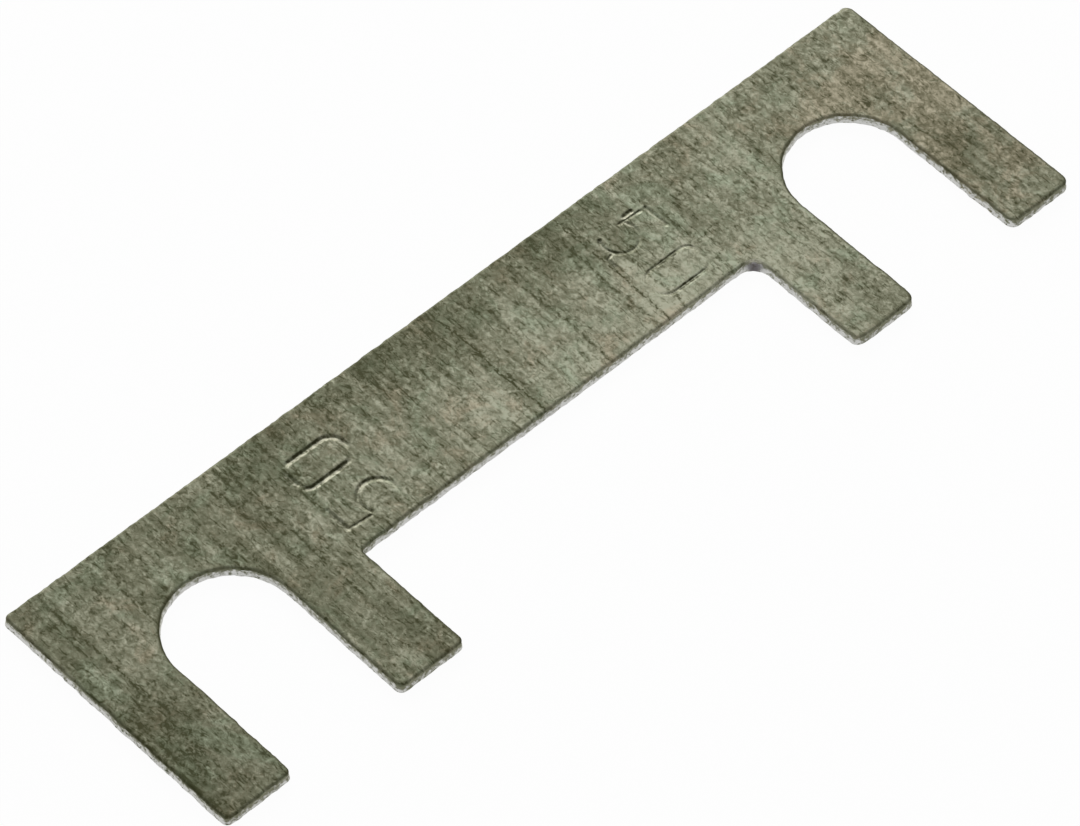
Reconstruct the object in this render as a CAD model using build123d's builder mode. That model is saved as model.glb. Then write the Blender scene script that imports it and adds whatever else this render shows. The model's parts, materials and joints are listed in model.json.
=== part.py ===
from build123d import *
import os

# A strip fuse: one flat link punched from thin sheet. Its middle band is the part that melts,
# and at each end a wider pad has a slot, open at the front, that slides under a terminal stud.
# X runs along the strip, Y from the prong tips to the straight back edge, and Z up out of the
# sheet. The origin is the middle of the strip's outline, on its flat underside.

# Driving dimensions in millimetres
stud_spacing = 30.0
slot_width = 5.0
prong_width = 2.95
band_width = 6.1
prong_reach = 5.15
slot_land = 3.1
sheet_thickness = 0.4
tip_radius = 0.3
back_corner_radius = 0.25
notch_corner_radius = 0.25
rim_roll = 0.08

# The outline's sizes and places that follow from them
strip_length = stud_spacing + slot_width + 2 * prong_width
strip_depth = band_width + prong_reach
notch_width = stud_spacing - slot_width - 2 * prong_width
back_y = strip_depth / 2
tip_y = back_y - strip_depth
slot_end_y = back_y - slot_land - slot_width / 2
inner_prong_x = (notch_width + prong_width) / 2
stud_places = ((-stud_spacing / 2, slot_end_y), (stud_spacing / 2, slot_end_y))


# The punched blank: a rectangle with a wide notch and two round-ended slots cut from the front
with BuildPart() as fuse_strip:
    with BuildSketch(Plane.XY) as blank:
        with Locations((0, back_y)):
            Rectangle(strip_length, strip_depth, align=(Align.CENTER, Align.MAX))
        with Locations((0, tip_y)):
            Rectangle(
                notch_width,
                prong_reach,
                align=(Align.CENTER, Align.MIN),
                mode=Mode.SUBTRACT,
            )
        with Locations(*stud_places):
            Rectangle(
                slot_width,
                slot_end_y - tip_y,
                align=(Align.CENTER, Align.MAX),
                mode=Mode.SUBTRACT,
            )
            Circle(slot_width / 2, mode=Mode.SUBTRACT)

        # The punch leaves small radii: inside the notch, at the prong tips, at the back corners
        between_prongs = blank.vertices().filter_by_position(
            Axis.X, -inner_prong_x, inner_prong_x
        )
        fillet(between_prongs.group_by(Axis.Y)[-1], notch_corner_radius)
        fillet(blank.vertices().group_by(Axis.Y)[0], tip_radius)
        fillet(blank.vertices().group_by(Axis.Y)[-1], back_corner_radius)
    extrude(amount=sheet_thickness)

    # The upper rim is rolled over, where the punch drew the sheet down before it sheared
    upper_face = fuse_strip.faces().sort_by(Axis.Z)[-1]
    fillet(upper_face.edges(), rim_roll)

fuse_strip.part.label = "fuse_strip"

os.makedirs("parts", exist_ok=True)
export_step(fuse_strip.part, "parts/fuse_strip.step")

print("strip length, depth, thickness:", strip_length, strip_depth, sheet_thickness)
print("volume in cubic millimetres:", round(fuse_strip.part.volume, 3))
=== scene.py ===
import json
import math

import bpy
import numpy as np
from bpy.props import FloatProperty, FloatVectorProperty, PointerProperty
from bpy.types import Operator, Panel, PropertyGroup
from mathutils import Matrix, Vector


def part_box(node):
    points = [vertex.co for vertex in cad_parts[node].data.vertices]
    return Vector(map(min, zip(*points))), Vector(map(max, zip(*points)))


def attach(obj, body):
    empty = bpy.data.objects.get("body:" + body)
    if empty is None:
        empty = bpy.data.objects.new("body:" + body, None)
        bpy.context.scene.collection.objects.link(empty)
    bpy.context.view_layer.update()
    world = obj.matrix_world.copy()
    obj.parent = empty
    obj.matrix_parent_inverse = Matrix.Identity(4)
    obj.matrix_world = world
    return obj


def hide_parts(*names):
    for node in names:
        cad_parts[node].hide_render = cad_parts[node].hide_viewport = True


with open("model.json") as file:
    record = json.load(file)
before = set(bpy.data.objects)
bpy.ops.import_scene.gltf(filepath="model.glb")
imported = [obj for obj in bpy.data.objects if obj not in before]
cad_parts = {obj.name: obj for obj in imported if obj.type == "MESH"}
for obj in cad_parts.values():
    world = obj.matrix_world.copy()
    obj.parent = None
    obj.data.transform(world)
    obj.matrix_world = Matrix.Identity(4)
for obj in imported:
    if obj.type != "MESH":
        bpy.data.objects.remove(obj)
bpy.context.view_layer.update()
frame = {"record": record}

bl_info = {
    "name": "Strip fuse",
    "version": (1, 0, 0),
    "blender": (4, 5, 0),
    "location": "View3D > Sidebar > Strip fuse",
    "description": "Builds a punched and stamped strip fuse around its packed solid",
    "category": "Add Mesh",
}

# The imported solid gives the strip's length, depth and thickness, and the record its slots
STRIP_LOW, STRIP_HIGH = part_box("fuse_strip")
MOUNTS = {mount["name"]: mount for mount in frame["record"]["mounts"]}
LEFT_SLOT = MOUNTS["left_stud_slot"]
RIGHT_SLOT = MOUNTS["right_stud_slot"]

MM = 0.001

# The way along the sheet, towards the back right, in which the figures' punch leant
LEAN_X, LEAN_Y = 0.5, 0.866


def length(name, millimetres, description):
    """A length that a user can set, with its default given in millimetres."""
    return FloatProperty(
        name=name, description=description, default=millimetres * MM, precision=6, unit="LENGTH"
    )


def angle(name, degrees, description):
    """An angle that a user can set, with its default given in degrees."""
    default = math.radians(degrees)
    return FloatProperty(name=name, description=description, default=default, subtype="ANGLE")


def colour(name, default, description, highest=1.0):
    """A colour that a user can set."""
    return FloatVectorProperty(
        name=name,
        description=description,
        default=default,
        subtype="COLOR",
        size=3,
        min=0.0,
        max=highest,
    )


def tint(name, default, description):
    """What a colour is multiplied by, which may brighten it."""
    return colour(name, default, description, highest=2.0)


class StripSizes(PropertyGroup):
    """Sizes of the punched strip."""

    band_width: length("Band width", 6.1, "Depth of the middle band that melts")
    prong_width: length("Prong width", 2.95, "Width of each of the four prongs")
    left_tip_radius: length(
        "Left tip radius", 0.24, "Corner radius at the tips of the two left prongs"
    )
    right_tip_radius: length(
        "Right tip radius", 0.36, "Corner radius at the tips of the two right prongs"
    )
    left_back_radius: length("Left back radius", 0.22, "Radius of the back corner on the left")
    right_back_radius: length("Right back radius", 0.34, "Radius of the back corner on the right")
    left_notch_radius: length(
        "Left notch radius", 0.14, "Radius inside the notch beside the left pad"
    )
    right_notch_radius: length(
        "Right notch radius", 0.48, "Radius inside the notch beside the right pad"
    )
    roll_width: length(
        "Roll width", 0.115, "How far in from the edge the punch drew the upper face down"
    )
    roll_height: length("Roll height", 0.07, "How far down the side the rolled rim reaches")
    burnish_height: length(
        "Burnish height", 0.2, "Height above the underside at which the smooth shear ends"
    )
    fracture_roughness: length(
        "Fracture roughness", 0.03, "Depth of the torn grain below the smooth shear"
    )
    foot_flare: length("Foot flare", 0.045, "How far the torn foot of the sheared side stands out")
    flake_length: length(
        "Flake length", 0.15, "How far the flake at one corner of the notch stands out at its foot"
    )
    edge_wander: length(
        "Edge wander", 0.05, "How far the punched edge wanders in and out along its line"
    )
    burr_height: length(
        "Burr height", 0.012, "How far the torn lip stands below the flat underside"
    )


class FigureSizes(PropertyGroup):
    """Sizes of the plain stamped figures."""

    height: length("Figure height", 2.5, "Height of a stamped figure")
    pitch: length(
        "Figure pitch", 2.82, "Distance from the left of the five to the middle of the nought"
    )
    stroke: length("Stroke width", 0.24, "Width of the groove that a stroke leaves")
    depth: length("Stroke depth", 0.09, "Depth of the groove that a stroke leaves")
    lip: length("Lip height", 0.003, "Height of the metal raised beside a stroke")
    lean: FloatProperty(
        name="Punch lean",
        description="How far a groove's foot lies towards the back right, as a share of its depth",
        default=0.5,
    )


class ZincFinish(PropertyGroup):
    """Colours of the weathered rolled zinc."""

    oxide: colour(
        "Oxide", (0.188, 0.192, 0.1235), "Colour of the dull oxide over most of the sheet"
    )
    # Also the colour of the rolled rim's darkening, which is dirt with painted shade
    dark_oxide_and_shade: colour(
        "Dark oxide",
        (0.043, 0.0455, 0.0135),
        "Colour of the dark rolling marks and the grime in the grooves",
    )
    pale_oxide: colour(
        "Pale oxide", (0.420, 0.424, 0.316), "Colour where handling has rubbed the oxide thin"
    )
    green_tint: tint(
        "Green tint",
        (0.92, 1.01, 0.985),
        "What the cool patches of the oxide multiply its colour by",
    )
    brown_tint: tint(
        "Brown tint", (1.09, 0.98, 0.96), "What the warm stains multiply the oxide's colour by"
    )
    # Colour of the painted shade, with some dirt, on the figures' steep flanks
    shade_and_dirt: colour(
        "Grime", (0.022, 0.023, 0.004), "Colour of the grime on the steep flanks of the figures"
    )
    # Colour of the painted highlight on the flanks that face the back right and on the rim at the
    # notch's corner
    highlight_zinc: colour(
        "Rubbed zinc",
        (0.56, 0.55, 0.43),
        "Colour of the metal rubbed bright on one flank of the figures",
    )
    fresh_zinc: colour(
        "Fresh zinc", (0.80, 0.80, 0.78), "Colour of the bare metal on the sheared sides"
    )
    oxide_sheen: colour("Oxide sheen", (1.0, 0.98, 0.8), "Tint of what the oxide reflects")
    # Colour of a dark patch at the notch's right corner
    dark_patch: colour(
        "Smudge", (0.15, 0.13, 0.145), "Colour of the smudge at one corner of the notch"
    )


class StudioSetting(PropertyGroup):
    """The floor, lamps and camera."""

    camera_aim_x: length(
        "Camera aim X", -0.7335, "X of the point on the table that the camera looks at"
    )
    camera_aim_y: length(
        "Camera aim Y", -0.1624, "Y of the point on the table that the camera looks at"
    )
    camera_heading: angle(
        "Camera heading", 43.2716, "Direction of view in plan, from the strip's length"
    )
    camera_dip: angle("Camera dip", 52.6036, "How far the camera looks down from the horizon")
    camera_roll: angle("Camera roll", 3.516, "Turn of the camera about its own line of sight")
    camera_distance: length(
        "Camera distance", 229.530, "Distance from the camera to the point it looks at"
    )
    camera_lens: FloatProperty(
        name="Lens",
        description="Focal length of the camera in millimetres",
        default=219.32,
    )
    floor_colour: colour("Floor colour", (0.95, 0.95, 0.95), "Colour of the plain floor")
    floor_glow: FloatProperty(
        name="Floor glow",
        description="Share of plain white in what the camera sees of the floor",
        default=0.96,
        subtype="FACTOR",
        min=0.0,
        max=1.0,
    )
    sky_strength: FloatProperty(
        name="Sky strength",
        description="Strength of the even light from all round",
        default=0.62,
    )
    lamp_power: FloatProperty(
        name="Lamp power",
        description="Power of the large soft lamp behind the strip",
        default=1.9,
        unit="POWER",
    )


def rows_between(start, end, count):
    """Evenly spaced values from start to end, as count intervals."""
    return np.linspace(start, end, count + 1)


def between(ends, share):
    """The value that lies a share of the way from the first end to the last."""
    return ends[0] + (ends[1] - ends[0]) * share


def ruled(lower, upper, shares):
    """A surface ruled between two curves.

    A point is the lower curve's point plus a share of the way to the upper curve's point, so the
    two parameters are the step along the curves and the share of the way across.
    """
    return lower[None] + shares[:, None, None] * (upper - lower)[None]


def level(x_values, y):
    """A straight line of points at one height y."""
    return np.stack([x_values, np.full_like(x_values, y)], 1)


def rounded_edge(x0, x1, y, side, turn, radii, steps, middle):
    """A straight edge along X with a quarter circle at either end, and its outward normals.

    side is 1 where the sheet lies below the edge and -1 where it lies above. turn is 1 for corners
    that the sheet fills and -1 for corners inside a notch. With a the angle of the quarter circle,
    from 0 at the end to a right angle at the straight, a corner's point is its centre less the
    radius times cos a along X, plus side, turn and radius times sin a along Y. The normal has
    minus turn times cos a along X and side times sin a along Y. middle holds the straight part's
    X values.
    """
    points = []
    normals = []
    for x, radius, count, way in ((x0, radii[0], steps[0], 1), (x1, radii[1], steps[1], -1)):
        angle = rows_between(0, math.pi / 2, max(count, 1))[:-1] if count else np.zeros(0)
        corner_x = x + way * radius * (1 - np.cos(angle))
        corner_y = y - side * turn * radius * (1 - np.sin(angle))
        corner = np.stack([corner_x, corner_y], 1)
        normal = np.stack([-way * turn * np.cos(angle), side * np.sin(angle)], 1)
        points.append(corner[::way])
        normals.append(normal[::way])
    straight = level(middle, y)
    flat = np.tile((0.0, float(side)), (len(middle), 1))
    edge = np.concatenate([points[0], straight, points[1]])
    return edge, np.concatenate([normals[0], flat, normals[1]])


def box_distance(u, v, half_u, half_v, radius):
    """Signed distance to a box with rounded corners, centred on u = v = 0.

    It is the length of how far the point lies outside the box shrunk by the radius, plus the
    larger of the two shortfalls where it lies inside, less the radius.
    """
    over_u = np.abs(u) - half_u + radius
    over_v = np.abs(v) - half_v + radius
    outside = np.hypot(np.maximum(over_u, 0), np.maximum(over_v, 0))
    return outside + np.minimum(np.maximum(over_u, over_v), 0) - radius


def segment_distance(u, v, start, end):
    """Distance to a straight stroke, and the share of the way along it of the nearest point."""
    run_u = end[0] - start[0]
    run_v = end[1] - start[1]
    share = ((u - start[0]) * run_u + (v - start[1]) * run_v) / (run_u**2 + run_v**2)
    share = np.clip(share, 0, 1)
    return np.hypot(u - start[0] - share * run_u, v - start[1] - share * run_v), share


def arc_distance(u, v, centre, radius, first, last):
    """Distance to a stroke along a circle from angle first back to angle last, and the share.

    Inside the arc's span of angles it is the difference between the distance to the centre and
    the radius. Outside the span it is the distance to the nearer end.
    """
    angle = np.arctan2(v - centre[1], u - centre[0])
    middle = (first + last) / 2
    half_span = (first - last) / 2
    turned = np.mod(angle - middle + math.pi, 2 * math.pi) - math.pi
    held = middle + np.clip(turned, -half_span, half_span)
    near_u = centre[0] + radius * np.cos(held)
    near_v = centre[1] + radius * np.sin(held)
    return np.hypot(u - near_u, v - near_v), (first - held) / (first - last)


# Where a groove's lip stands and how wide it is, in shares of the groove's half width
LIP_AT = 1.5
LIP_SPREAD = 0.35


def groove(distance, half_width, depth, lip):
    """Height of the face beside a stroke: a V-shaped groove between two low raised lips.

    The V is the depth times one less the distance over the half width, and each lip is a bell
    curve one and a half half-widths out.
    """
    cut = depth * np.clip(1 - distance / half_width, 0, 1)
    bell = np.exp(-(((distance - LIP_AT * half_width) / (LIP_SPREAD * half_width)) ** 2))
    return lip * bell - cut


# The shape of the figures, in shares of their height
BAR_FROM, BAR_TO = 0.01, 0.43
STEM_FOOT_LEFT = 0.03
BOWL_MIDDLE = 0.148
BOWL_RADIUS = 0.292
BOWL_FROM, BOWL_BACK_TO = math.radians(118), math.radians(-120)
NOUGHT_HALF_HEIGHT = 0.49
NOUGHT_MIDDLE = 0.514
NOUGHT_LOWER_CORNER, NOUGHT_UPPER_CORNER = 0.24, 0.17

# The depth at the start and the end of the five's two straight strokes
BAR_DEPTHS = (1.0, 0.6)
STEM_DEPTHS = (0.75, 1.0)

# The painted highlight shows only on deep strokes: the gain with a stroke's depth, and what is
# taken off it
HIGHLIGHT_GAIN, HIGHLIGHT_LESS = 2.5, 0.4


def fade_near(first, second, height, places):
    """1 over the face, less where each place takes its amount away.

    A place takes away its amount times e to the minus fourth power of the distance from it over
    its reach, and what the places leave is multiplied together.
    """
    value = np.ones_like(first)
    for place_first, place_second, reach, amount in places:
        away = np.hypot(first - place_first, second - place_second)
        value = value * (1 - amount * np.exp(-((away / (reach * height)) ** 4)))
    return value


def figure_height(u, v, figures, pair):
    """Height of the face round a stamped five and nought, from the lower left of the five.

    Each stroke gives a groove, and the face takes the lowest of the grooves and, where no groove
    reaches, the highest of the lips. pair says how deep each stroke was struck, and how bright the
    painted highlight on its flank is. The second result is that painted highlight, and the third
    how much of the flanks' painted shade and dirt is kept.
    """
    tall = figures.height / MM
    half_stroke = figures.stroke / MM / 2
    depth = figures.depth / MM
    lip = figures.lip / MM
    foot = pair["stem_foot"] * tall
    top = pair["stem_top"] * tall

    bar, along_bar = segment_distance(u, v, (BAR_FROM * tall, tall), (BAR_TO * tall, tall))
    stem, along_stem = segment_distance(u, v, (-STEM_FOOT_LEFT * tall, foot), (0.0, top))
    middle = (BOWL_MIDDLE * tall, pair["bowl_rise"] * tall)
    bowl, along_bowl = arc_distance(u, v, middle, BOWL_RADIUS * tall, BOWL_FROM, BOWL_BACK_TO)
    half_wide = pair["nought_wide"] * tall
    half_tall = NOUGHT_HALF_HEIGHT * tall
    nought_u = u - figures.pitch / MM
    nought_v = v - NOUGHT_MIDDLE * tall
    corner = np.where(nought_v < 0, NOUGHT_LOWER_CORNER, NOUGHT_UPPER_CORNER) * tall
    nought = np.abs(box_distance(nought_u, nought_v, half_wide, half_tall, corner))
    worn = [(a * half_wide, b * half_tall, reach, amount) for a, b, reach, amount in pair["worn"]]
    left_there = fade_near(nought_u, nought_v, tall, worn)
    lightened = [(a * tall, b * tall, reach, amount) for a, b, reach, amount in pair["clean"]]
    shade_kept = fade_near(u, v, tall, lightened)

    heights = []
    highlights = []
    for name, distance, share in (
        ("bar", bar, between(BAR_DEPTHS, along_bar)),
        ("stem", stem, between(STEM_DEPTHS, along_stem)),
        ("bowl", bowl, np.interp(along_bowl, BOWL_STOPS, pair["bowl_shares"])),
        ("nought", nought, left_there),
    ):
        struck, highlight, thin = pair[name]
        struck = struck * (share + np.zeros_like(distance))
        heights.append(groove(distance, half_stroke * thin, depth * struck, lip * struck))
        highlights.append(highlight * np.clip(HIGHLIGHT_GAIN * struck - HIGHLIGHT_LESS, 0, 1))
    for start, end, struck, highlight, thin in pair["again"]:
        begin = (start[0] * tall, start[1] * tall)
        finish = (end[0] * tall, end[1] * tall)
        distance, _ = segment_distance(u, v, begin, finish)
        heights.append(groove(distance, half_stroke * thin, depth * struck, lip * struck))
        highlights.append(np.full_like(distance, highlight))
    heights = np.array(heights)
    lowest = heights.min(axis=0)
    highlight = np.take_along_axis(np.array(highlights), heights.argmin(axis=0)[None], 0)[0]
    return np.where(lowest < 0, lowest, heights.max(axis=0)), highlight, shade_kept


# How far along the bowl of the five its own depths in each pair stand
BOWL_STOPS = (0.0, 0.2, 0.3, 0.6, 0.72, 0.9, 1.0)

# Where each pair of figures stands: the baseline's X, the five's left edge in Y and which way is
# up along X. Then each stroke's depth, how bright the painted highlight on its flank is, and its
# width, all as shares. again are short strokes of a second blow: start, end, depth, highlight and
# width. worn are the places round the nought that did not strike, in shares of its half width and
# half height, and last come the places whose flanks get less painted shade and dirt, or more where
# the amount is below 0, in shares of the figures' height, both with their reach and amount
FIGURE_PAIRS = (
    {
        "baseline": -6.8,
        "left": 0.43,
        "up": -1,
        "bar": (0.75, 0.45, 0.95),
        "stem": (0.6, 0.35, 0.65),
        "stem_foot": 0.6,
        "stem_top": 0.96,
        "bowl": (0.75, 0.42, 0.95),
        "bowl_rise": 0.3,
        "bowl_shares": (0.6, 0.6, 0.95, 1.0, 0.6, 0.3, 0.15),
        "nought": (0.9, 0.85, 1.0),
        "nought_wide": 0.27,
        "again": (),
        "worn": (
            (0.95, 1.0, 0.12, 1.0),
            (0.15, 1.0, 0.1, 0.35),
            (-0.6, 0.97, 0.055, 0.8),
            (-0.75, -0.95, 0.17, 0.85),
        ),
        "clean": ((1.15, 1.0, 0.2, 0.85), (1.29, 0.06, 0.14, 0.5)),
    },
    {
        "baseline": 5.73,
        "left": 3.75,
        "up": 1,
        "bar": (0.6, 0.85, 0.85),
        "stem": (0.6, 0.4, 0.65),
        "stem_foot": 0.5,
        "stem_top": 0.9,
        "bowl": (0.5, 0.8, 0.75),
        "bowl_rise": 0.34,
        "bowl_shares": (1.4, 0.9, 0.5, 0.6, 1.1, 1.2, 2.0),
        "nought": (0.38, 0.0, 0.75),
        "nought_wide": 0.256,
        "again": (
            ((-0.078, 0.65), (-0.085, 0.79), 0.75, 0.95, 1.0),
            ((0.5, -0.07), (0.33, -0.06), 0.5, 0.1, 0.7),
            ((0.33, -0.06), (0.3, 0.04), 0.4, 0.6, 0.6),
        ),
        "worn": (
            (0.0, -1.0, 0.24, 0.95),
            (0.1, 1.0, 0.2, 0.75),
            (0.9, 0.85, 0.14, 0.5),
            (-0.95, 0.6, 0.1, 0.4),
        ),
        "clean": ((0.12, 0.66, 0.13, 0.9), (0.1, 0.08, 0.1, 0.3), (1.11, 0.55, 0.5, -0.6)),
    },
)


# How evenly the figures were struck: the least share of their depth, and what is added to it as
# a share, a spacing in millimetres and a seed
LEAST_STRIKE = 0.55
STRIKE_CHANGES = ((0.55, 0.3, 21), (0.35, 0.12, 22))


def unevenness(x, y, spacing, seed):
    """Smooth uneven values from 0 to 1 over the face.

    Seeded random values stand at the corners of even squares. Inside a square the value is the
    blend of its four corners', eased both ways as half a cosine wave is.
    """
    knots = 64
    values = np.random.default_rng(seed).random((knots, knots))
    place_x, place_y = x / spacing, y / spacing
    column = np.floor(place_x).astype(int)
    row = np.floor(place_y).astype(int)
    ease_x = 0.5 - 0.5 * np.cos(math.pi * (place_x - column))
    ease_y = 0.5 - 0.5 * np.cos(math.pi * (place_y - row))
    corner = [values[(row + j) % knots, (column + i) % knots] for j in (0, 1) for i in (0, 1)]
    low = corner[0] * (1 - ease_x) + corner[1] * ease_x
    high = corner[2] * (1 - ease_x) + corner[3] * ease_x
    return low * (1 - ease_y) + high * ease_y


def face_height(x, y, figures):
    """Height of the upper face at the two stamped pairs, their painted highlight and shade kept."""
    height = np.zeros_like(x)
    highlight = np.zeros_like(x)
    shade_kept = np.ones_like(x)
    for pair in FIGURE_PAIRS:
        u = pair["up"] * (pair["left"] - y)
        v = pair["up"] * (x - pair["baseline"])
        pair_height, pair_highlight, pair_shade_kept = figure_height(u, v, figures, pair)
        height = height + pair_height
        highlight = np.where(pair_height < 0, pair_highlight, highlight)
        shade_kept = shade_kept * pair_shade_kept
    strike = LEAST_STRIKE
    for share, spacing, seed in STRIKE_CHANGES:
        strike = strike + share * unevenness(x, y, spacing, seed)
    return height * strike, highlight, shade_kept


# The gradient's step in millimetres, and how squarely a flank has to face the front left or the
# back right: where it starts to count, and how much further it counts in full
GRADIENT_STEP = 0.02
FRONT_LEFT_FROM, FRONT_LEFT_SPAN = 0.3, 0.5
BACK_RIGHT_SPAN = 0.45


def flank_slopes(x, y, figures):
    """How steep the flanks that face the front left are, and those that face the back right.

    The slope is the length of the face's gradient, from heights one small step to either side, as
    a share of a groove's own slope. It counts for one kind of flank or the other by the way in
    which the face rises.
    """
    step = GRADIENT_STEP
    rise_x = face_height(x + step, y, figures)[0] - face_height(x - step, y, figures)[0]
    rise_y = face_height(x, y + step, figures)[0] - face_height(x, y - step, figures)[0]
    rise = np.hypot(rise_x, rise_y) + 1e-9
    full = figures.depth / (figures.stroke / 2)
    steep = np.clip(rise / (2 * step) / full, 0, 1)
    towards = (rise_x * LEAN_X + rise_y * LEAN_Y) / rise
    front_left = steep * np.clip((towards - FRONT_LEFT_FROM) / FRONT_LEFT_SPAN, 0, 1)
    back_right = steep * np.clip(-towards / BACK_RIGHT_SPAN, 0, 1)
    return front_left, back_right


def ripple(along, length, spacing, seed):
    """Smooth uneven values from 0 to 1 along a closed path.

    Seeded random values stand at even knots, and between two knots the value goes from one to the
    other as half a cosine wave does.
    """
    knots = max(int(round(length / spacing)), 4)
    values = np.random.default_rng(seed).random(knots)
    place = along / length * knots
    first = np.floor(place).astype(int) % knots
    ease = 0.5 - 0.5 * np.cos(math.pi * (place - np.floor(place)))
    return values[first] * (1 - ease) + values[(first + 1) % knots] * ease


class StripOutline:
    """The strip's upper face as grids between curves, and the loop round their outside.

    The face is seven blocks side by side: prong, slot, prong, notch, prong, slot, prong. Each is
    ruled from a lower curve, such as a prong's tip or a slot's half circle, to the back edge. All
    curves lie one inset inside the sheet's edge, and the rim is carried along the loop.
    """

    inset = 0.18

    # Steps along a corner, a tip's straight, a slot's half circle and a corner of the notch
    corner_steps = 6
    tip_steps = 26
    slot_steps = 84
    notch_steps = 12

    # Rows up a prong, and from the notch's floor to the slots' ends
    prong_rows = 40
    neck_rows = 6

    # Widths of the close and wide columns, how many close rows meet a wide one, the figures' rows
    # in Y, and the X at which the columns turn from close to wide and back
    fine = 0.03
    coarse = 0.12
    row_group = 6
    figure_rows = (0.25, 4.3)
    figure_columns = (-6.5, 5.35, 8.6)

    def __init__(self, sizes):
        self.sizes = sizes
        low, high = STRIP_LOW / MM, STRIP_HIGH / MM
        self.top = high.z
        self.tip_y = low.y
        self.back_y = high.y
        self.left_x = low.x
        self.right_x = high.x
        self.slot_x = (LEFT_SLOT["pos_m"][0] / MM, RIGHT_SLOT["pos_m"][0] / MM)
        self.slot_end_y = LEFT_SLOT["pos_m"][1] / MM
        self.slot_radius = LEFT_SLOT["dims"]["r_mm"]
        self.notch_y = self.back_y - sizes.band_width / MM
        self.notch_x = self.slot_x[1] - self.slot_radius - sizes.prong_width / MM
        self.make_rows()
        self.make_blocks()
        self.make_loop()

    def make_rows(self):
        """Shares of the way up each stretch, with close rows where the figures are."""
        start = self.slot_end_y
        end = self.back_y - self.inset
        figures_from, figures_to = self.figure_rows
        group = self.row_group
        fine_rows = group * int(round((figures_to - figures_from) / self.fine / group))
        heights = np.concatenate(
            [
                rows_between(start, figures_from, group)[:-1],
                rows_between(figures_from, figures_to, fine_rows)[:-1],
                rows_between(figures_to, end, 2 * group),
            ]
        )
        self.fine_shares = (heights - start) / (end - start)
        self.coarse_shares = self.fine_shares[::group]
        self.neck_shares = rows_between(0, 1, self.neck_rows)
        self.prong_shares = rows_between(0, 1, self.prong_rows)

    def prong(self, x0, x1, tip_radius, back_radii, notch_radius):
        """A prong and the pad above it, from tip to back edge, ruled in three stretches."""
        inset = self.inset
        steps = self.corner_steps
        left, right = x0 + inset, x1 - inset
        corner = tip_radius - inset
        middle = rows_between(left + corner, right - corner, self.tip_steps)
        tip, tip_normals = rounded_edge(
            left, right, self.tip_y + inset, -1, 1, (corner, corner), (steps, steps), middle
        )
        columns = len(tip) - 1
        even = rows_between(left, right, columns)
        radii = [max(radius - inset, 0) if radius else 0 for radius in back_radii]
        counts = [steps if radius else 0 for radius in radii]
        middle = rows_between(left + radii[0], right - radii[1], columns - sum(counts))
        back, back_normals = rounded_edge(
            left, right, self.back_y - inset, 1, 1, radii, counts, middle
        )
        shoulder = level(even, self.notch_y - notch_radius)
        neck = level(even, self.slot_end_y)
        grid = np.concatenate(
            [
                ruled(tip, shoulder, self.prong_shares)[:-1],
                ruled(shoulder, neck, self.neck_shares)[:-1],
                ruled(neck, back, self.coarse_shares),
            ]
        )
        return {"grid": grid, "lower": tip_normals, "upper": back_normals}

    def slot(self, centre_x):
        """The sheet between a slot's half-round end and the back edge."""
        angle = rows_between(math.pi, 0, self.slot_steps)
        radius = self.slot_radius + self.inset
        outward = np.stack([np.cos(angle), np.sin(angle)], 1)
        arc = np.array((centre_x, self.slot_end_y)) + radius * outward
        across = rows_between(centre_x - radius, centre_x + radius, self.slot_steps)
        back = level(across, self.back_y - self.inset)
        up = np.tile((0.0, 1.0), (len(back), 1))
        return {"grid": ruled(arc, back, self.coarse_shares), "lower": -outward, "upper": up}

    def band(self, left_radius, right_radius):
        """The middle band, with close columns where the figures are."""
        inset = self.inset
        left, right = -self.notch_x - inset, self.notch_x + inset
        left_arc, right_arc = left_radius + inset, right_radius + inset
        stops = (left + left_arc, *self.figure_columns, right - right_arc)
        spacings = (self.fine, self.coarse, self.fine, self.coarse)
        runs = [
            rows_between(start, end, max(int(round((end - start) / spacing)), 1))
            for start, end, spacing in zip(stops, stops[1:], spacings)
        ]
        middle = np.concatenate([run[:-1] for run in runs[:-1]] + [runs[-1]])
        steps = self.notch_steps
        arcs = (left_arc, right_arc)
        floor, floor_normals = rounded_edge(
            left, right, self.notch_y + inset, -1, -1, arcs, (steps, steps), middle
        )
        before = rows_between(left, stops[0], steps)[:-1]
        after = rows_between(stops[-1], right, steps)[1:]
        even = np.concatenate([before, middle, after])
        neck = level(even, self.slot_end_y)
        back = level(even, self.back_y - inset)
        grid = np.concatenate(
            [ruled(floor, neck, self.neck_shares)[:-1], ruled(neck, back, self.fine_shares)]
        )
        up = np.tile((0.0, 1.0), (len(back), 1))
        return {"grid": grid, "lower": floor_normals, "upper": up}

    def make_blocks(self):
        """The seven blocks from left to right."""
        s = self.sizes
        left_slot, right_slot = self.slot_x
        r = self.slot_radius
        left_tip, right_tip = s.left_tip_radius / MM, s.right_tip_radius / MM
        left_notch, right_notch = s.left_notch_radius / MM, s.right_notch_radius / MM
        left_back = (s.left_back_radius / MM, 0)
        right_back = (0, s.right_back_radius / MM)
        inner = self.notch_x
        self.blocks = [
            self.prong(self.left_x, left_slot - r, left_tip, left_back, left_notch),
            self.slot(left_slot),
            self.prong(left_slot + r, -inner, left_tip, (0, 0), left_notch),
            self.band(left_notch, right_notch),
            self.prong(inner, right_slot - r, right_tip, (0, 0), right_notch),
            self.slot(right_slot),
            self.prong(right_slot + r, self.right_x, right_tip, right_back, right_notch),
        ]

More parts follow.
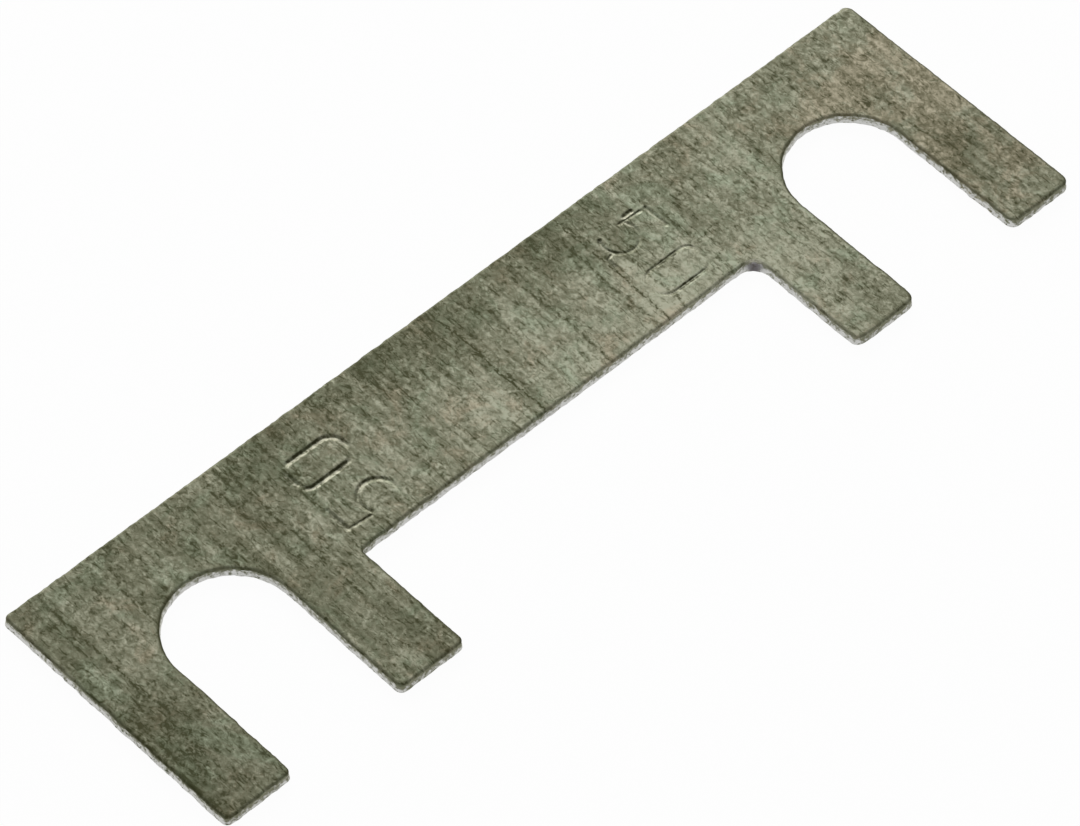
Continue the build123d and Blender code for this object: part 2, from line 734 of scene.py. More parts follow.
    def make_loop(self):
        """The loop round the blocks, anticlockwise from the left prong's tip, with normals.

        Each stretch drops its last point, which is the next one's first. lower_start and
        upper_start say where each block's stretches begin on the loop.
        """
        points = []
        normals = []
        shoulder = self.prong_rows
        neck = self.prong_rows + self.neck_rows
        climbs = {0: neck, 2: shoulder, 4: neck, 6: None}
        falls = {2: neck, 4: shoulder, 6: neck}

        def add(stretch, stretch_normals):
            points.append(stretch[:-1])
            normals.append(stretch_normals[:-1])

        def length():
            return sum(len(part) for part in points)

        lower_start = []
        for number, block in enumerate(self.blocks):
            grid = block["grid"]
            lower_start.append(length())
            if number in falls:
                fall = grid[: falls[number] + 1, 0][::-1]
                add(fall, np.tile((-1.0, 0.0), (len(fall), 1)))
            add(grid[0], block["lower"])
            if number in climbs:
                last = climbs[number]
                climb = grid[:, -1] if last is None else grid[: last + 1, -1]
                add(climb, np.tile((1.0, 0.0), (len(climb), 1)))
        upper_start = []
        for block in self.blocks[::-1]:
            upper_start.append(length())
            add(block["grid"][-1][::-1], block["upper"][::-1])
        end_fall = self.blocks[0]["grid"][:, 0][::-1]
        add(end_fall, np.tile((-1.0, 0.0), (len(end_fall), 1)))
        self.loop = np.concatenate(points)
        self.normals = np.concatenate(normals)
        self.lower_start = lower_start
        self.upper_start = upper_start[::-1]


def grid_faces(index):
    """Four-sided faces of a grid of vertex numbers whose rows go up and columns go right."""
    corners = [index[:-1, :-1], index[:-1, 1:], index[1:, 1:], index[1:, :-1]]
    return np.stack(corners, -1).reshape(-1, 4)


# The middle of a corner's arc lies this share of its radius in from the corner, along X and Y
ARC_MIDDLE = 0.29

# How far the flake and the dark patch reach round the notch's right corner, in millimetres
FLAKE_REACH = 0.3
DARK_PATCH_REACH = 0.22


def near_notch_corner(x, y, outline, reach):
    """1 at the middle of the notch's right corner, falling to 0 about the reach away.

    It is e to the minus fourth power of the distance over the reach and the inset together.
    """
    shift = ARC_MIDDLE * outline.sizes.right_notch_radius / MM
    away = np.hypot(x - outline.notch_x + shift, y - outline.notch_y + shift)
    return np.exp(-((away / (reach + outline.inset)) ** 4))


# How torn each side that faces left is: the left end, a slot, the notch and the other slot
TORN_SHARES = (0.6, 0.25, 0.5, 1.0)


# The ripples along the rim. Each is a sum of a share, a spacing in millimetres and a seed
RIPPLES = {
    "wave": ((1.0, 1.7, 11),),
    "chip": ((0.6, 0.21, 12), (0.4, 0.1, 13)),
    "tear": ((0.5, 0.3, 14), (0.5, 0.13, 15)),
    "lip": ((1.0, 0.16, 16),),
    "wander": ((0.55, 0.35, 17), (0.45, 0.14, 18)),
}

# The least share of each of the rim's measures, and the share at a ripple's highest
ROLL_WIDTH_SHARES = (0.75, 1.15)
ROLL_HEIGHT_SHARES = (0.85, 1.15)
BURNISH_SHARES = (0.75, 1.25)

# The steps of the rolled edge, and how rolled its first one is
ROLL_STEPS = 6
ROLL_START = 0.3

# The burnished wall's rings: how far down each stands as a share, then how rolled, how sheared and
# how much of the corner's dark patch it takes
WALL_RINGS = ((0.3, 0.5, 0.8, 0.3), (0.65, 0.2, 1.0, 0.5))

# The torn foot's rings: the ripple that tears it, the tear's share of the roughness, its share of
# the flare, its height as a share of the burnished wall's foot, and its share of the dark patch
TORN_RINGS = (
    ("tear", 0.15, 0.1, 1.0, 0.8),
    ("chip", 0.5, 0.5, 0.68, 0.9),
    ("tear", 0.6, 0.8, 0.36, 1.0),
)

# The burr: the tear's share, how high it starts, and how far in it meets the flat underside
BURR_TEAR = 0.5
BURR_START = 1.6
BURR_INSIDE = 0.04
BURR_INSIDE_FLARE = 0.8


def rim_rings(outline):
    """The rim as a profile carried along the loop, each ring one step of the profile.

    A ring's point is the loop's point plus its normal times the profile's reach, at the profile's
    height. From the face the profile turns down through a quarter ellipse, drops straight down the
    burnished shear, flares a little over the torn grain, and ends in a thin burr round the flat
    underside. Seeded ripples along the loop make the shear's end, the tear and the burr uneven,
    and a flake stands out at the foot of one corner of the notch. Each ring also says how rolled
    and how sheared it is, and how much of that corner's dark patch it takes.
    """
    sizes = outline.sizes
    inset = outline.inset
    top = outline.top
    step = np.roll(outline.loop, -1, axis=0) - outline.loop
    along = np.concatenate([[0], np.cumsum(np.hypot(step[:, 0], step[:, 1]))])
    length = along[-1]
    along = along[:-1]
    ripples = {
        name: sum(share * ripple(along, length, spacing, seed) for share, spacing, seed in parts)
        for name, parts in RIPPLES.items()
    }
    chip, lip = ripples["chip"], ripples["lip"]

    facing_left = np.maximum(-outline.normals[:, 0], 0)
    side = inset - sizes.edge_wander / MM * (ripples["wander"] - 0.3)
    near_flake = near_notch_corner(*outline.loop.T, outline, FLAKE_REACH)
    roll_share = between(ROLL_WIDTH_SHARES, chip) + 0.2 * facing_left * (chip - 0.5)
    roll_width = sizes.roll_width / MM * roll_share * (1 - 0.5 * near_flake)
    roll_height = sizes.roll_height / MM * between(ROLL_HEIGHT_SHARES, ripples["wave"])
    roll_height = roll_height * (1 - 0.6 * near_flake)
    rough = sizes.fracture_roughness / MM * (1 + 0.6 * facing_left)
    burnish = sizes.burnish_height / MM * between(BURNISH_SHARES, chip)
    burr = sizes.burr_height / MM
    flare = sizes.foot_flare / MM + sizes.flake_length / MM * near_flake

    rings = []
    for angle in rows_between(0, math.pi / 2, ROLL_STEPS):
        reach = side - roll_width * (1 - math.sin(angle))
        height = top - roll_height * (1 - math.cos(angle))
        rolled = between((ROLL_START, 1.0), math.sin(angle))
        rings.append((reach, height, rolled, 0.0, 0.0))
    for down, rolled, sheared, smudged in WALL_RINGS:
        height = (top - roll_height) * (1 - down) + burnish * down
        rings.append((side, height, rolled, sheared, smudged))
    for name, torn, flared, up, smudged in TORN_RINGS:
        reach = side - rough * ripples[name] * torn + flared * flare
        rings.append((reach, burnish * up, 0.0, 1.0, smudged))
    rings.append((side - rough * lip * BURR_TEAR + flare, burr * BURR_START, 0.0, 1.0, 1.0))
    burr_foot = burr * (1 - np.sqrt(lip))
    rings.append((side - rough * chip * BURR_TEAR + flare, burr_foot, 0.0, 1.0, 1.0))
    rings.append((side - BURR_INSIDE + BURR_INSIDE_FLARE * flare, burr, 0.0, 0.6, 1.0))
    rings.append((0.0, burr, 0.0, 0.0, 0.0))
    return rings


def underside_faces(outline, ring):
    """Faces of the flat underside, between the lower and upper runs of each block's border.

    A slot's block and the band are quads from each point of the lower run to the point straight
    behind it. A prong's block is one flat face round its border.
    """
    count = len(ring)
    lower = outline.lower_start + [outline.upper_start[-1]]
    upper = outline.upper_start
    upper_end = [count] + upper[:-1]
    faces = []
    for number, block in enumerate(outline.blocks):
        front = np.arange(lower[number], lower[number + 1] + 1) % count
        back = np.arange(upper[number], upper_end[number] + 1) % count
        columns = block["grid"].shape[1]
        if number % 2:
            front = front[:columns]
            quads = np.stack([front[:-1], back[::-1][:-1], back[::-1][1:], front[1:]], 1)
            faces.extend(ring[quads].tolist())
        else:
            if number == 0:
                back = np.arange(upper[0], count)
            if number == len(outline.blocks) - 1:
                front = front[:-1]
            border = np.concatenate([front, back])
            faces.append(ring[border[::-1]].tolist())
    return faces


# Points that agree to this many steps in a millimetre are one vertex
WELD_STEPS = 1e5

# How many of the rim's rings are shaded smooth. The rest, where the sheet tore, are flat
SMOOTH_RINGS = 8


# The prongs left and right of the band, by their places in the row of blocks, and the band's own
LEFT_OF_BAND, BAND, RIGHT_OF_BAND = 2, 3, 4

# How much of a steep flank the painted shade and dirt cover
FLANK_SHADE_AND_DIRT = 0.9

# The rim's darkening is dirt with painted shade, and sides that face left get less of it. The
# corner's dark patch hides most of it. A ring more rolled than this gets the painted highlight
# there
LEFT_LESS_SHADE = 0.3
DARK_PATCH_HIDES = 0.9
HIGHLIGHT_ROLL = 0.4


def weld(flats):
    """The points that several lists share, and each list's own points as numbers among them."""
    stacked = np.concatenate(flats)
    _, first, number = np.unique(
        np.round(stacked * WELD_STEPS).astype(np.int64),
        axis=0,
        return_index=True,
        return_inverse=True,
    )
    number = number.reshape(-1)
    starts = np.cumsum([0] + [len(flat) for flat in flats])
    return stacked[first], [number[start:end] for start, end in zip(starts, starts[1:])]


def block_faces(outline, grids):
    """The upper face's own faces, block by block.

    The band's close rows meet the wider ones of the two prongs beside it along a column of faces
    with more sides.
    """
    faces = []
    group = outline.row_group
    neck = outline.prong_rows + outline.neck_rows
    for place, grid in enumerate(grids):
        if place not in (LEFT_OF_BAND, RIGHT_OF_BAND):
            faces.extend(grid_faces(grid).tolist())
            continue
        faces.extend(grid_faces(grid[: neck + 1]).tolist())
        high_rows = grid[neck:]
        on_left = place == LEFT_OF_BAND
        seam = grids[BAND][outline.neck_rows :, 0 if on_left else -1]
        runs = seam[np.arange(0, len(seam) - 1, group)[:, None] + np.arange(group + 1)]
        faces.extend(grid_faces(high_rows[:, :-1] if on_left else high_rows[:, 1:]).tolist())
        beside = high_rows[:, -2 if on_left else 1]
        low, high = beside[:-1, None], beside[1:, None]
        sides = [low, runs, high] if on_left else [low, high, runs[:, ::-1]]
        faces.extend(np.concatenate(sides, 1).tolist())
    return faces


def rim_marks(outline, rings):
    """What the material reads along the rim, as one list for each mark with one row a ring."""
    facing_left = np.maximum(-outline.normals[:, 0], 0)
    facing_right = np.maximum(outline.normals[:, 0], 0)
    slots_right = [slot_x + outline.slot_radius for slot_x in outline.slot_x]
    torn_at = (outline.left_x, slots_right[0], outline.notch_x, slots_right[1])
    torn = facing_left * np.interp(outline.loop[:, 0], torn_at, TORN_SHARES)
    dark_patch = near_notch_corner(*outline.loop.T, outline, DARK_PATCH_REACH)
    clean = 1 - LEFT_LESS_SHADE * facing_left
    none = np.zeros(len(outline.loop))
    marks = {}
    for _, _, roll, shear, smudged in rings:
        for name, values in (
            # The rim's darkening is dirt with painted shade: less on sides that face left, more on
            # those that face right
            ("rolled", roll * (1 - DARK_PATCH_HIDES * dark_patch) * clean),
            ("sheared", shear * (1 - dark_patch * (1 - smudged))),
            ("torn", torn),
            ("shaded", facing_right * roll),
            ("smudged", dark_patch * smudged),
            ("grimy", none),
            # Painted highlight on the rim at the notch's corner
            ("rubbed", dark_patch if roll > HIGHLIGHT_ROLL else none),
        ):
            marks.setdefault(name, []).append(values)
    return marks


def strip_mesh(sizes, figures):
    """The strip's whole surface as one closed mesh: upper face, rim and underside."""
    outline = StripOutline(sizes)
    flats = [block["grid"].reshape(-1, 2) for block in outline.blocks]
    points, numbers = weld(flats + [outline.loop])
    x, y = points.T
    relief, highlight, shade_kept = face_height(x, y, figures)
    front_left, back_right = flank_slopes(x, y, figures)
    lean = figures.lean * np.maximum(-relief, 0)
    vertices = [np.stack([x + LEAN_X * lean, y + LEAN_Y * lean, outline.top + relief], 1)]
    # Painted shade with some dirt: the steep flanks that face the front left, away from the lamp,
    # are darkened, and those that face the back right too, save where the painted highlight lies
    shade_and_dirt = FLANK_SHADE_AND_DIRT * front_left + FLANK_SHADE_AND_DIRT * back_right * (1 - highlight) ** 2
    # The painted highlight lies on the flanks that face the back right
    face_marks = {"grimy": np.clip(shade_and_dirt * shade_kept, 0, 1), "rubbed": back_right * highlight}

    shapes = [block["grid"].shape[:2] for block in outline.blocks]
    grids = [number.reshape(shape) for number, shape in zip(numbers, shapes)]
    faces = block_faces(outline, grids)
    smooth = [True] * len(faces)

    # The rim's rings, each a new row of vertices after the loop itself
    above = numbers[-1]
    count = len(above)
    around = np.roll(np.arange(count), -1)
    rings = rim_rings(outline)
    for place, (reach, height, *_) in enumerate(rings):
        reach = reach + np.zeros(count)
        height = height + np.zeros(count)
        ring_xy = outline.loop + outline.normals * reach[:, None]
        vertices.append(np.concatenate([ring_xy, height[:, None]], 1))
        below = len(x) + place * count + np.arange(count)
        faces.extend(np.stack([above, below, below[around], above[around]], 1).tolist())
        smooth.extend([place < SMOOTH_RINGS] * count)
        above = below
    under = underside_faces(outline, above)
    faces.extend(under)
    smooth.extend([False] * len(under))

    mesh = bpy.data.meshes.new("punched_strip")
    mesh.from_pydata((np.concatenate(vertices) * MM).tolist(), [], faces)
    mesh.polygons.foreach_set("use_smooth", smooth)
    for name, values in rim_marks(outline, rings).items():
        values = [face_marks.get(name, np.zeros(len(x))), *values]
        layer = mesh.attributes.new(name, "FLOAT", "POINT")
        layer.data.foreach_set("value", np.concatenate(values).astype(np.float32))
    mesh.update()
    return mesh


class Shader:
    """Short forms for adding nodes to one material and joining them."""

    def __init__(self, material):
        material.use_nodes = True
        self.tree = material.node_tree
        self.tree.nodes.clear()

    def put(self, socket, value):
        """Joins a node's output to a socket, or sets the socket's own value."""
        if isinstance(value, bpy.types.NodeSocket):
            self.tree.links.new(value, socket)
        else:
            socket.default_value = value

    def add(self, kind, inputs=None, **settings):
        node = self.tree.nodes.new(kind)
        for name, value in settings.items():
            setattr(node, name, value)
        for name, value in (inputs or {}).items():
            self.put(node.inputs[name], value)
        return node

    def maths(self, operation, first, second=0.0, third=0.0, clamp=False):
        inputs = {0: first, 1: second, 2: third}
        return self.add("ShaderNodeMath", inputs, operation=operation, use_clamp=clamp).outputs[0]

    def times(self, first, second):
        return self.maths("MULTIPLY", first, second)

    def less(self, first, second):
        return self.maths("SUBTRACT", first, second)

    def times_plus(self, first, second, third, clamp=False):
        """The first times the second, plus the third."""
        return self.maths("MULTIPLY_ADD", first, second, third, clamp)

    def swing(self, noise, weight, value, clamp=False):
        """A value plus how far a noise stands from its middle, times a weight."""
        return self.times_plus(self.less(noise, 0.5), weight, value, clamp)

    def blend(self, share, first, second, kind="MIX"):
        node = self.add("ShaderNodeMix", data_type="RGBA", blend_type=kind)
        self.put(node.inputs["Factor"], share)
        for socket, value in ((node.inputs[6], first), (node.inputs[7], second)):
            self.put(socket, value)
        return node.outputs[2]

    def ease(self, value, start, end):
        """0 below start and 1 above end, smoothly between them."""
        node = self.add("ShaderNodeMapRange", interpolation_type="SMOOTHSTEP")
        self.put(node.inputs["Value"], value)
        node.inputs["From Min"].default_value = start
        node.inputs["From Max"].default_value = end
        return node.outputs["Result"]

    def fade(self, value, start, end):
        """1 below start and 0 above end, smoothly between them."""
        return self.less(1.0, self.ease(value, start, end))

    def attribute(self, name):
        return self.add("ShaderNodeAttribute", attribute_name=name).outputs["Fac"]

    def noise(self, place, scale, detail=3.0, roughness=0.5, distortion=0.0):
        """Noise from about 0 to 1. scale is its waves in a millimetre along X, Y and Z."""
        stretched = self.add(
            "ShaderNodeMapping", {"Vector": place, "Scale": tuple(s / MM for s in scale)}
        ).outputs[0]
        inputs = {
            "Vector": stretched,
            "Scale": 1.0,
            "Detail": detail,
            "Roughness": roughness,
            "Distortion": distortion,
        }
        return self.add("ShaderNodeTexNoise", inputs).outputs["Fac"]


# The two dark rolling marks that cross the band: one beside its middle, one by the right figures
BAND_MARKS_X = (-0.75, 5.35)
BAND_MARK_DARK = 0.75
BAND_MARK_HALF = 0.04

# How far a mark wanders and how ragged it is, in millimetres. Then where its edge starts and ends
# as shares of its half width, and over which Y it begins and fades, from its lowest and highest
MARK_WANDER, MARK_RAGGED = 0.45, 0.22
MARK_EDGE = (0.3, 1.7)
MARK_BEGINS = (-0.3, 0.5)
MARK_FADES = (-0.8, 0.4)

# The fainter marks are spread by two shares that don't fall into step. Start and reach are shares
# of the sheet's depth, half width is in millimetres, and each goes from the first value to the last
FAINT_MARKS = 16
SPREAD_SHARE = 0.618
HEIGHT_SHARE = 0.755
FAINT_START = (0.0, 0.6)
FAINT_REACH = (0.65, 0.4)
FAINT_HALF = (0.045, 0.07)
FAINT_DARK = (0.34, 0.46)

# How pale the face is at its middle, from 0 to 1, and how much paler each millimetre along X.
# The paling along X is painted light
MIDDLE_TONE = 0.545
PAINTED_LIGHT_ALONG_X = 0.004

# Broad changes of tone: X, Y, reach along X and Y, how much paler
BROAD_TONES_AND_LIGHT = (
    # Painted light: the front of the band is pale, most of all right of its middle
    (3.5, -0.5, 9.5, 4.5, 0.28),
    # Painted shade: the band is dark along its back edge, a little more on the left
    (-2.0, 6.0, 13.0, 4.0, -0.25),
    # Both end prongs darken towards their tips
    (-20.0, -5.6, 4.0, 6.0, -0.14),
    (20.0, -5.6, 4.0, 6.0, -0.14),
)

# Broad changes of hue, the same way: the right end is warmer, the leftmost prong cooler
BROAD_HUES = (
    (20.0, 0.0, 7.0, 9.0, 0.13),
    (-20.0, -4.0, 5.0, 5.0, -0.07),
)


def broad_changes(s, x, y, value, changes):
    """Adds broad changes to a value: each falls off smoothly over an ellipse."""
    for centre_x, centre_y, reach_x, reach_y, more in changes:
        along = s.maths("DIVIDE", s.less(x, centre_x * MM), reach_x * MM)
        across = s.maths("DIVIDE", s.less(y, centre_y * MM), reach_y * MM)
        square = s.times_plus(across, across, s.times(along, along))
        value = s.times_plus(s.fade(s.maths("SQRT", square), 0.0, 1.3), more, value)
    return value


def mark_places():
    """Each mark's X, lowest and highest Y, half width and darkness.

    The faint marks' X goes up by one share of the strip's length, wrapped round at its end, and
    their half width with it. Their lowest Y, reach and darkness follow a second share that way.
    """
    low, high = STRIP_LOW / MM, STRIP_HIGH / MM
    length_x, depth_y = high.x - low.x, high.y - low.y
    places = [(mark_x, low.y, high.y, BAND_MARK_HALF, BAND_MARK_DARK) for mark_x in BAND_MARKS_X]
    for number in range(1, FAINT_MARKS + 1):
        spread, height = number * SPREAD_SHARE % 1, number * HEIGHT_SHARE % 1
        from_y = low.y + between(FAINT_START, height) * depth_y
        to_y = from_y + between(FAINT_REACH, height) * depth_y
        half, dark = between(FAINT_HALF, spread), between(FAINT_DARK, height)
        places.append((low.x + spread * length_x, from_y, to_y, half, dark))
    return places


def rolling_marks(s, place, x, y, ragged, tone):
    """Adds the dark marks along Y: a thin chain of flecks about X that wanders and fades out."""
    broken = s.ease(s.noise(place, (5.0, 3.4, 5.0), 3.0, 0.6), 0.42, 0.53)
    wander = s.noise(place, (0.5, 0.7, 0.5), 2.0)
    drifted = s.swing(wander, MARK_WANDER * MM, s.swing(ragged, MARK_RAGGED * MM, x))
    for mark_x, low_y, high_y, half, dark in mark_places():
        off = s.maths("ABSOLUTE", s.less(drifted, mark_x * MM))
        inside = s.fade(off, *(share * half * MM for share in MARK_EDGE))
        from_low = s.ease(y, *((low_y + more) * MM for more in MARK_BEGINS))
        to_high = s.fade(y, *((high_y + more) * MM for more in MARK_FADES))
        held = s.times(s.times(inside, from_low), to_high)
        tone = s.times_plus(s.times(held, broken), -dark, tone)
    return tone


def face_noises(s, place):
    """The grain, speckle, dashes and crackle, which both the colour and the relief read."""
    grain = s.noise(place, (4.8, 3.7, 4.8), 3.0, 0.55, 1.0)
    speckle = s.noise(place, (8.5, 6.3, 8.5), 2.0, 0.5, 0.4)
    dashes = s.ease(s.noise(place, (9.0, 1.9, 9.0), 2.0, 0.5, 0.7), 0.58, 0.67)
    winding = s.less(s.noise(place, (4.2, 2.2, 4.2), 3.0, 0.6, 1.0), 0.5)
    crackle = s.fade(s.maths("ABSOLUTE", winding), 0.0, 0.035)
    return grain, speckle, dashes, s.times(crackle, s.ease(speckle, 0.42, 0.58))


def face_tone(s, place, x, y, noises):
    """How pale the face is: painted light and shade, broad changes, grain and painted glints."""
    grain, speckle, dashes, crackle = noises
    patches = s.noise(place, (0.27, 0.24, 0.27), 2.0, 0.5, 0.4)
    bands = s.noise(place, (1.5, 0.09, 1.5), 2.0, 0.5)
    blotches = s.noise(place, (1.8, 1.4, 1.8), 4.0, 0.6, 0.4)
    streaks = s.noise(place, (4.6, 0.26, 4.6), 1.0, 0.55)
    coarse = s.ease(s.noise(place, (1.4, 1.0, 1.4), 2.0), 0.35, 0.65)
    flecks = s.ease(s.noise(place, (5.5, 4.5, 5.5), 3.0, 0.6, 1.0), 0.57, 0.66)
    glints = s.ease(s.noise(place, (6.5, 4.5, 6.5), 2.0, 0.6, 1.0), 0.62, 0.7)

    # Painted light: the face grows paler along X
    tone = s.times_plus(x, PAINTED_LIGHT_ALONG_X / MM, MIDDLE_TONE)
    tone = broad_changes(s, x, y, tone, BROAD_TONES_AND_LIGHT)
    for noise, weight in ((patches, 0.7), (bands, 0.5), (blotches, 0.6), (streaks, 0.65)):
        tone = s.swing(noise, weight, tone)
    fine = s.swing(speckle, 0.75, s.times(s.less(grain, 0.5), 1.38))
    tone = s.times_plus(fine, s.times_plus(coarse, 0.5, 0.72), tone)
    for mark, weight in ((dashes, -0.34), (flecks, -0.24), (glints, 0.2), (crackle, -0.18)):
        tone = s.times_plus(mark, weight, tone)
    return rolling_marks(s, place, x, y, speckle, tone)


def face_colour(s, place, x, y, tone, finish):
    """The oxide's colour by its tone, with cool and warm tints that keep the tone."""
    ramp = s.add("ShaderNodeValToRGB", {"Fac": tone})
    colours = ramp.color_ramp.elements
    colours[0].position = 0.0
    colours[0].color = (*finish.dark_oxide_and_shade, 1)
    colours[1].position = 1.0
    colours[1].color = (*finish.pale_oxide, 1)
    colours.new(0.5).color = (*finish.oxide, 1)
    hue = s.noise(place, (0.6, 0.5, 0.6), 6.0, 0.75, 0.5)
    hue = broad_changes(s, x, y, hue, BROAD_HUES)
    cool, warm = s.fade(hue, 0.36, 0.51), s.ease(hue, 0.52, 0.66)
    skin = s.blend(cool, ramp.outputs["Color"], (*finish.green_tint, 1), "MULTIPLY")
    return s.blend(warm, skin, (*finish.brown_tint, 1), "MULTIPLY")


def worked_places(s, skin, grain, speckle, finish):
    """Dirt and painted shade on the rim and the steep flanks, and painted highlights."""
    patchy = s.ease(s.times_plus(speckle, 0.5, s.times(grain, 0.5)), 0.4, 0.58)
    # Painted shade: the rim's patchy dirt is made darker on sides that face right
    dirt_and_shade = s.times_plus(patchy, 0.42, 0.03)
    dirt_and_shade = s.maths("ADD", dirt_and_shade, s.attribute("shaded"), clamp=True)
    rim = s.times(s.ease(s.attribute("rolled"), 0.05, 0.7), dirt_and_shade)
    skin = s.blend(rim, skin, (*finish.dark_oxide_and_shade, 1))
    # Painted highlight on those flanks and on the rim at the notch's corner
    rubbed = s.times(s.attribute("rubbed"), s.ease(grain, 0.3, 0.6))
    skin = s.blend(rubbed, skin, (*finish.highlight_zinc, 1))
    # Painted shade with some dirt on the figures' steep flanks
    grimy = s.attribute("grimy")
    dirt_and_shade = s.times(s.ease(s.swing(speckle, 1.6, grimy), 0.15, 0.95), s.ease(grimy, 0.0, 0.15))
    return s.blend(dirt_and_shade, skin, (*finish.shade_and_dirt, 1))


def sheared_sides(s, place, y, z, skin, finish):
    """Metal on the sheared sides, mostly oxide under the rim and mostly bare at the foot.

    The prong tips' sides are a little more oxidised, and one corner of the notch has a dark patch.
    """
    torn, sheared = s.attribute("torn"), s.attribute("sheared")
    fleck = s.noise(place, (5.5, 5.0, 7.5), 3.0, 0.7)
    low = s.fade(z, 0.06 * MM, 0.34 * MM)
    tip = s.fade(y, STRIP_LOW.y, STRIP_LOW.y + 0.3 * MM)
    bare = s.times_plus(s.less(low, 0.55), 0.2, fleck)
    bare = s.times_plus(torn, 0.03, s.times_plus(tip, -0.08, bare))
    bare = s.ease(bare, 0.36, 0.64)
    bare_colour = s.blend(bare, (*finish.oxide, 1), (*finish.fresh_zinc, 1))
    ragged = s.times(s.less(fleck, 0.5), s.times_plus(torn, 5.0, 2.0))
    metal = s.times_plus(sheared, 1.2, s.less(ragged, 0.1))
    metal = s.times(s.ease(metal, 0.35, 0.85), s.ease(sheared, 0.0, 0.2))
    skin = s.blend(metal, skin, bare_colour)
    dark_patch = s.swing(fleck, 0.6, s.attribute("smudged"))
    dark_patch = s.times(s.ease(dark_patch, 0.0, 1.05), 0.9)
    return s.blend(dark_patch, skin, (*finish.dark_patch, 1))


def zinc_material(finish):
    """Weathered rolled zinc: patchy oxide, grain and marks along Y, and bare sheared sides."""
    material = bpy.data.materials.new("rolled_zinc")
    s = Shader(material)
    place = s.add("ShaderNodeTexCoord").outputs["Object"]
    x, y, z = s.add("ShaderNodeSeparateXYZ", {0: place}).outputs
    noises = face_noises(s, place)
    grain, speckle, dashes, crackle = noises
    skin = face_colour(s, place, x, y, face_tone(s, place, x, y, noises), finish)
    skin = worked_places(s, skin, grain, speckle, finish)
    skin = sheared_sides(s, place, y, z, skin, finish)

    depth = s.times_plus(grain, 0.7, s.times(dashes, -0.35))
    depth = s.times_plus(crackle, -0.3, s.times_plus(speckle, 0.3, depth))
    bump = s.add("ShaderNodeBump", {"Height": depth, "Strength": 0.45, "Distance": 0.01 * MM})
    surface = {
        "Base Color": skin,
        "Metallic": 0.5,
        "Roughness": s.swing(grain, -0.4, 0.5, clamp=True),
        "Specular Tint": (*finish.oxide_sheen, 1),
        "Normal": bump.outputs[0],
    }
    zinc = s.add("ShaderNodeBsdfPrincipled", surface)
    output = s.add("ShaderNodeOutputMaterial")
    s.put(output.inputs["Surface"], zinc.outputs[0])
    return material


def white_rays(shader):
    """1 for rays from the camera, a reflection or a glass, and 0 for the rest."""
    path = shader.add("ShaderNodeLightPath")
    seen = shader.maths("MAXIMUM", path.outputs["Is Camera Ray"], path.outputs["Is Glossy Ray"])
    return shader.maths("MAXIMUM", seen, path.outputs["Is Transmission Ray"])


def floor_material(stage):
    """A plain pale floor that the camera sees as nearly white, with the strip's shadow kept."""
    material = bpy.data.materials.new("studio_floor")
    s = Shader(material)
    matte = s.add("ShaderNodeBsdfDiffuse", {"Color": (*stage.floor_colour, 1)})
    white = s.add("ShaderNodeEmission", {"Color": (1, 1, 1, 1), "Strength": 1.0})
    share = s.times(white_rays(s), stage.floor_glow)
    mix = s.add("ShaderNodeMixShader", {0: share, 1: matte.outputs[0], 2: white.outputs[0]})
    output = s.add("ShaderNodeOutputMaterial")
    s.put(output.inputs["Surface"], mix.outputs[0])
    return material


def light_world(stage):
    """Even light from all round, seen as plain white."""
    world = bpy.data.worlds.new("studio_world")
    bpy.context.scene.world = world
    s = Shader(world)
    lighting = s.add("ShaderNodeBackground", {"Strength": stage.sky_strength})
    white = s.add("ShaderNodeBackground", {"Strength": 1.0})
    path = s.add("ShaderNodeLightPath")
    mix = s.add(
        "ShaderNodeMixShader",
        {0: path.outputs["Is Camera Ray"], 1: lighting.outputs[0], 2: white.outputs[0]},
    )
    output = s.add("ShaderNodeOutputWorld")
    s.put(output.inputs["Surface"], mix.outputs[0])


# Half the floor's side, and the lamp's two sides and place, in metres
FLOOR_HALF = 3.0
LAMP_SIDES = (0.5, 0.22)
LAMP_PLACE = (0.28, 0.42, 0.24)


def add_lamp(stage):
    """A large soft lamp low behind the strip, a little to its right."""
    data = bpy.data.lights.new("back_lamp", "AREA")
    data.shape = "RECTANGLE"
    data.size, data.size_y = LAMP_SIDES
    data.energy = stage.lamp_power
    lamp = bpy.data.objects.new("back_lamp", data)
    bpy.context.scene.collection.objects.link(lamp)
    lamp.location = Vector(LAMP_PLACE)
    lamp.rotation_euler = (-lamp.location).to_track_quat("-Z", "Y").to_euler()


def add_camera(stage):
    """The camera, set by its heading, dip, roll, distance and lens."""
    heading, dip, roll = stage.camera_heading, stage.camera_dip, stage.camera_roll
    ahead = Vector(
        (
            math.cos(heading) * math.cos(dip),
            math.sin(heading) * math.cos(dip),
            -math.sin(dip),
        )
    )
    level_right = Vector((math.sin(heading), -math.cos(heading), 0))
    level_up = level_right.cross(ahead)
    right = level_right * math.cos(roll) + level_up * math.sin(roll)
    up = right.cross(ahead)
    aim = Vector((stage.camera_aim_x, stage.camera_aim_y, 0))
    data = bpy.data.cameras.new("camera")
    data.lens = stage.camera_lens
    data.sensor_width = 36.0
    data.clip_start = 0.01
    data.clip_end = 10.0
    camera = bpy.data.objects.new("camera", data)
    bpy.context.scene.collection.objects.link(camera)
    turn = Matrix((right, up, -ahead)).transposed().to_4x4()
    camera.matrix_world = Matrix.Translation(aim - ahead * stage.camera_distance) @ turn
    bpy.context.scene.camera = camera


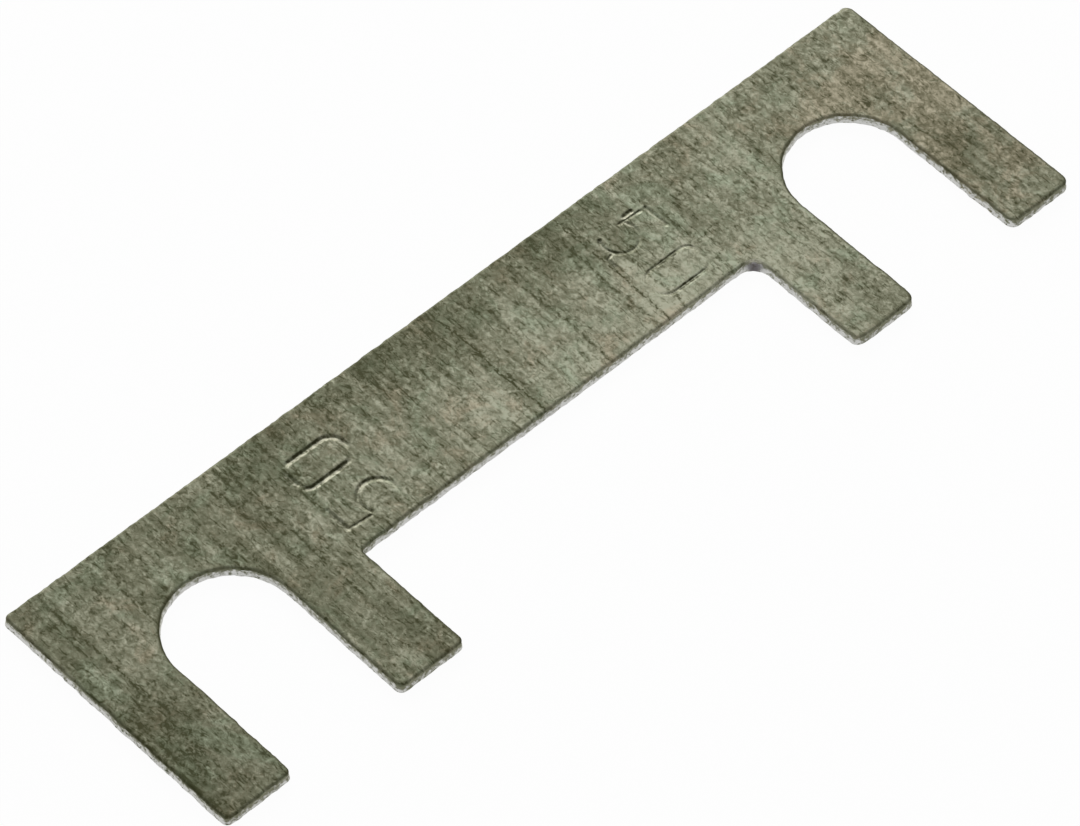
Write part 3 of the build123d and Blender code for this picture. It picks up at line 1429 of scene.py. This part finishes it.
class FUSE_OT_strip(Operator):
    """Makes the punched strip with its rim, burr and stamped figures"""

    bl_idname = "fuse.strip"
    bl_label = "Punched strip"

    def execute(self, context):
        scene = context.scene
        mesh = strip_mesh(scene.fuse_sizes, scene.fuse_figures)
        mesh.materials.append(zinc_material(scene.fuse_finish))
        piece = bpy.data.objects.new("punched_strip", mesh)
        scene.collection.objects.link(piece)
        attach(piece, "root")
        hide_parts("fuse_strip")
        return {"FINISHED"}


class FUSE_OT_stage(Operator):
    """Makes the floor, the light and the camera"""

    bl_idname = "fuse.stage"
    bl_label = "Floor, light and camera"

    def execute(self, context):
        scene = context.scene
        stage = scene.fuse_stage
        half = FLOOR_HALF
        mesh = bpy.data.meshes.new("studio_floor")
        corners = [(-half, -half, 0), (half, -half, 0), (half, half, 0), (-half, half, 0)]
        mesh.from_pydata(corners, [], [(0, 1, 2, 3)])
        mesh.materials.append(floor_material(stage))
        floor = bpy.data.objects.new("studio_floor", mesh)
        scene.collection.objects.link(floor)
        light_world(stage)
        add_lamp(stage)
        add_camera(stage)
        scene.view_settings.view_transform = "Standard"
        return {"FINISHED"}


class FUSE_PT_panel(Panel):
    """The strip fuse's sizes, colours and builders"""

    bl_label = "Strip fuse"
    bl_idname = "FUSE_PT_panel"
    bl_space_type = "VIEW_3D"
    bl_region_type = "UI"
    bl_category = "Strip fuse"

    def draw(self, context):
        scene = context.scene
        for title, group in (
            ("Strip", scene.fuse_sizes),
            ("Figures", scene.fuse_figures),
            ("Finish", scene.fuse_finish),
            ("Studio", scene.fuse_stage),
        ):
            box = self.layout.box()
            box.label(text=title)
            for name in group.__annotations__:
                box.prop(group, name)
        self.layout.operator(FUSE_OT_strip.bl_idname)
        self.layout.operator(FUSE_OT_stage.bl_idname)


GROUPS = {
    "fuse_sizes": StripSizes,
    "fuse_figures": FigureSizes,
    "fuse_finish": ZincFinish,
    "fuse_stage": StudioSetting,
}
CLASSES = (*GROUPS.values(), FUSE_OT_strip, FUSE_OT_stage, FUSE_PT_panel)


def register():
    for item in CLASSES:
        bpy.utils.register_class(item)
    for name, group in GROUPS.items():
        setattr(bpy.types.Scene, name, PointerProperty(type=group))


def unregister():
    for name in GROUPS:
        delattr(bpy.types.Scene, name)
    for item in reversed(CLASSES):
        bpy.utils.unregister_class(item)


def main():
    """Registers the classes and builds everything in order."""
    register()
    bpy.ops.fuse.strip()
    bpy.ops.fuse.stage()


if __name__ == "__main__":
    main()
